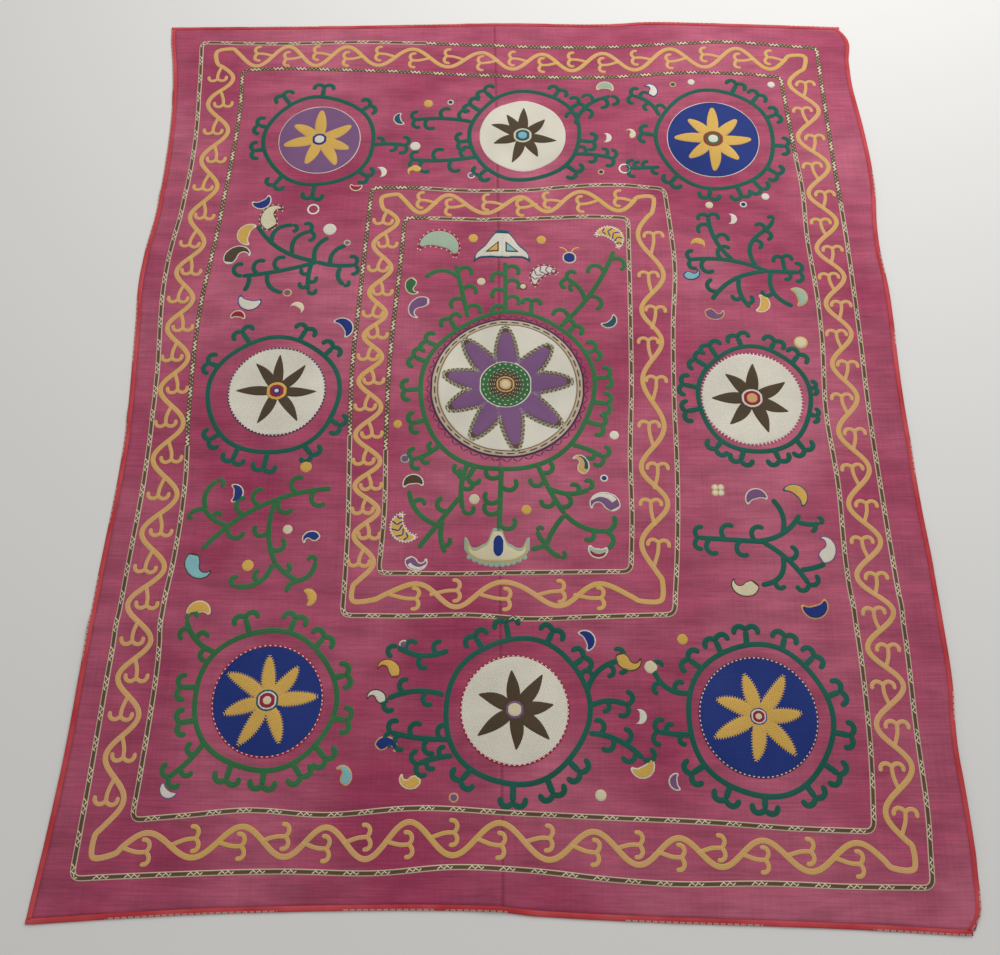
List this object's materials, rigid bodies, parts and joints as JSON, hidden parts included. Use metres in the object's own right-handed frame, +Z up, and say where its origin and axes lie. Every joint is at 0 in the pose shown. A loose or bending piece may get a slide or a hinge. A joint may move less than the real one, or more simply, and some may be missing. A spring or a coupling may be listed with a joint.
{
  "type": "suzani embroidered textile",
  "caption": "Large rectangular cloth of two lengths joined by a centre seam, laid flat with low folds, narrow woven edging all round, for embroidered medallions and borders.",
  "frame": {"origin": "middle of the outline, on the plane that the cloth lies on", "axes": "+Y along the cloth's length towards its head end, +Z up out of the embroidered face, +X to the right"},
  "size_m": [1.7831, 2.1708, 0.0083],
  "materials": {
    "cloth": "thin plain-woven magenta cotton, slightly faded",
    "edging": "narrow red woven tape",
    "embroidery": "soft silk and cotton embroidery thread in several colours"
  },
  "bodies": {
    "root": {"left_panel": "cloth", "right_panel": "cloth", "edging_top": "edging", "edging_right": "edging", "edging_bottom": "edging", "edging_left": "edging"}
  },
  "joints": []
}
